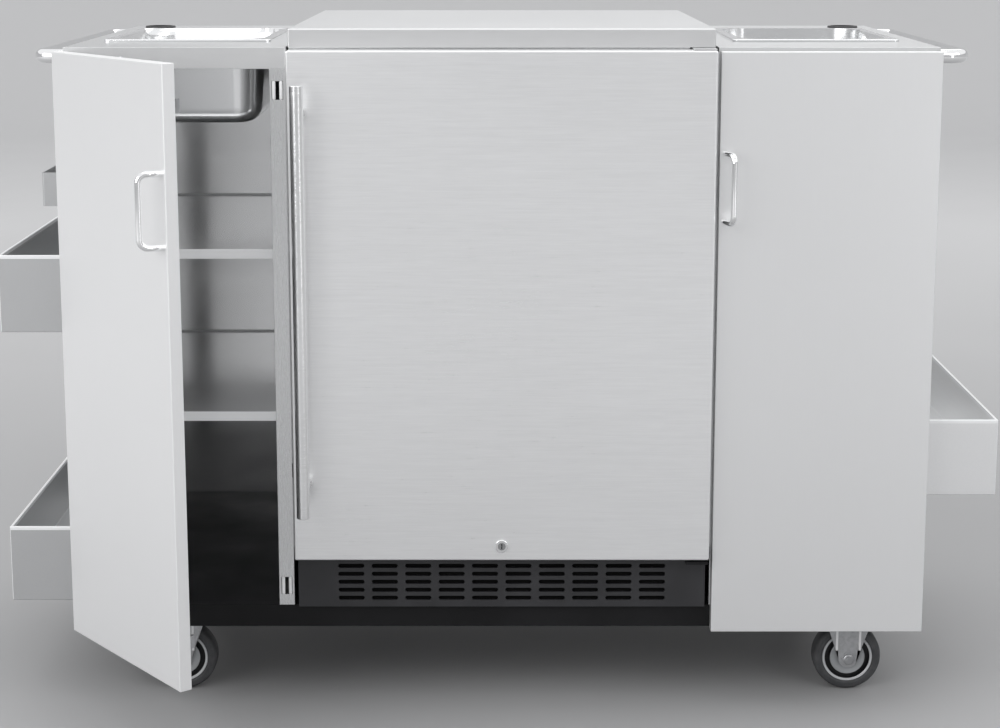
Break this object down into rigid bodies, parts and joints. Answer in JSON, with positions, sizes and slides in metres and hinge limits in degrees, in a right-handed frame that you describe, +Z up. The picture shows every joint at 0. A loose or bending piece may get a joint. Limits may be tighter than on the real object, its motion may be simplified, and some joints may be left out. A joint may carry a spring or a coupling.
{
  "type": "refrigerated outdoor cart",
  "caption": "Rolling outdoor bar cart with a refrigerator between side cabinets, drop-in pans in the counters, bottle rails and push handles on the ends, and swivel casters.",
  "frame": {"origin": "on the floor, at the middle of the whole cart as it stands with its left door open", "axes": "+X along the cart's length to its right end seen from the front, +Y from the front to the back, +Z up"},
  "size_m": [1.434, 0.8504, 0.988],
  "materials": {
    "brushed": "brushed stainless sheet",
    "polished": "polished stainless",
    "black_paint": "black powder coat",
    "black_plastic": "moulded black plastic",
    "white_plastic": "white vacuum-formed plastic",
    "zinc": "zinc plated",
    "tyre": "dark grey rubber tread",
    "wheel_grey": "grey moulded wheel centre",
    "gasket": "soft black seal",
    "fins": "bare fins and tubes"
  },
  "bodies": {
    "cart": {"left_side_panel": "brushed", "left_divider": "brushed", "left_counter": "brushed", "right_side_panel": "brushed", "right_divider": "brushed", "right_counter": "brushed", "cabinet_shelves": "brushed", "center_top": "brushed", "left_lower_rail": "brushed", "left_upper_rail": "brushed", "right_rail": "brushed", "side_bin": "brushed", "push_handles": "polished", "roller_catches": "polished", "base_pan": "black_paint", "fridge_case": "black_paint", "compressor": "black_paint", "grommets": "black_plastic", "kick_grille": "black_plastic", "cord_gland": "black_plastic", "fridge_liner": "white_plastic", "evaporator_cover": "white_plastic", "control_box": "white_plastic", "cabinet_fixings": "zinc", "hinge_leaves": "zinc", "fridge_hinges": "zinc", "caster_plates": "zinc", "fridge_racks": "zinc", "divider_pad": "gasket", "condenser": "fins"},
    "left_door": {"left_door_skin": "brushed", "left_door_inner": "brushed", "left_door_pull": "polished", "left_door_fittings": "zinc"},
    "right_door": {"right_door_skin": "brushed", "right_door_inner": "brushed", "right_door_pull": "polished", "right_door_fittings": "zinc"},
    "fridge_door": {"fridge_door_skin": "brushed", "fridge_door_liner": "white_plastic", "fridge_gasket": "gasket", "fridge_handle": "polished", "lock_barrel": "polished"},
    "lock": {"lock_plug": "polished"},
    "left_pan_body": {"left_pan": "polished"},
    "right_pan_body": {"right_pan": "polished"},
    "thermostat": {"thermostat_knob": "white_plastic"},
    "fan": {"condenser_fan": "black_plastic"},
    "swivel_fl": {"caster_fork_fl": "zinc"},
    "wheel_fl": {"caster_tyre_fl": "tyre", "caster_hub_fl": "wheel_grey"},
    "swivel_fr": {"caster_fork_fr": "zinc"},
    "wheel_fr": {"caster_tyre_fr": "tyre", "caster_hub_fr": "wheel_grey"},
    "swivel_rl": {"caster_fork_rl": "zinc"},
    "wheel_rl": {"caster_tyre_rl": "tyre", "caster_hub_rl": "wheel_grey"},
    "swivel_rr": {"caster_fork_rr": "zinc"},
    "wheel_rr": {"caster_tyre_rr": "tyre", "caster_hub_rr": "wheel_grey"}
  },
  "joints": [
    {"name": "left_door_swing", "type": "hinge", "parent": "cart", "child": "left_door", "pos_m": [-0.609, -0.16771, 0.537], "axis": [0, 0, -1], "range_deg": [-51, 54]},
    {"name": "right_door_swing", "type": "hinge", "parent": "cart", "child": "right_door", "pos_m": [0.609, -0.16771, 0.537], "axis": [0, 0, 1], "range_deg": [0, 105]},
    {"name": "fridge_door_swing", "type": "hinge", "parent": "cart", "child": "fridge_door", "pos_m": [0.2845, -0.18781, 0.594], "axis": [0, 0, 1], "range_deg": [0, 90]},
    {"name": "lock_turn", "type": "hinge", "parent": "fridge_door", "child": "lock", "pos_m": [0, -0.20081, 0.253], "axis": [0, 1, 0], "range_deg": [0, 90]},
    {"name": "left_pan_lift", "type": "slide", "parent": "cart", "child": "left_pan_body", "axis": [0, 0, 1], "range_m": [0, 0.2]},
    {"name": "right_pan_lift", "type": "slide", "parent": "cart", "child": "right_pan_body", "axis": [0, 0, 1], "range_m": [0, 0.2]},
    {"name": "thermostat_turn", "type": "hinge", "parent": "cart", "child": "thermostat", "pos_m": [0.05, -0.08081, 0.899], "axis": [0, -1, 0], "range_deg": [-140, 140]},
    {"name": "fan_spin", "type": "hinge", "parent": "cart", "child": "fan", "pos_m": [0.083, 0.29019, 0.2382], "axis": [1, 0, 0], "continuous": true},
    {"name": "swivel_fl_turn", "type": "hinge", "parent": "cart", "child": "swivel_fl", "pos_m": [-0.497, -0.09481, 0.11], "axis": [0, 0, 1], "continuous": true},
    {"name": "wheel_fl_roll", "type": "hinge", "parent": "swivel_fl", "child": "wheel_fl", "pos_m": [-0.477, -0.09481, 0.0505], "axis": [0, 1, 0], "continuous": true},
    {"name": "swivel_fr_turn", "type": "hinge", "parent": "cart", "child": "swivel_fr", "pos_m": [0.497, -0.09481, 0.11], "axis": [0, 0, 1], "continuous": true},
    {"name": "wheel_fr_roll", "type": "hinge", "parent": "swivel_fr", "child": "wheel_fr", "pos_m": [0.517, -0.09481, 0.0505], "axis": [0, 1, 0], "continuous": true},
    {"name": "swivel_rl_turn", "type": "hinge", "parent": "cart", "child": "swivel_rl", "pos_m": [-0.497, 0.35519, 0.11], "axis": [0, 0, 1], "continuous": true},
    {"name": "wheel_rl_roll", "type": "hinge", "parent": "swivel_rl", "child": "wheel_rl", "pos_m": [-0.477, 0.35519, 0.0505], "axis": [0, 1, 0], "continuous": true},
    {"name": "swivel_rr_turn", "type": "hinge", "parent": "cart", "child": "swivel_rr", "pos_m": [0.497, 0.35519, 0.11], "axis": [0, 0, 1], "continuous": true},
    {"name": "wheel_rr_roll", "type": "hinge", "parent": "swivel_rr", "child": "wheel_rr", "pos_m": [0.517, 0.35519, 0.0505], "axis": [0, 1, 0], "continuous": true}
  ]
}
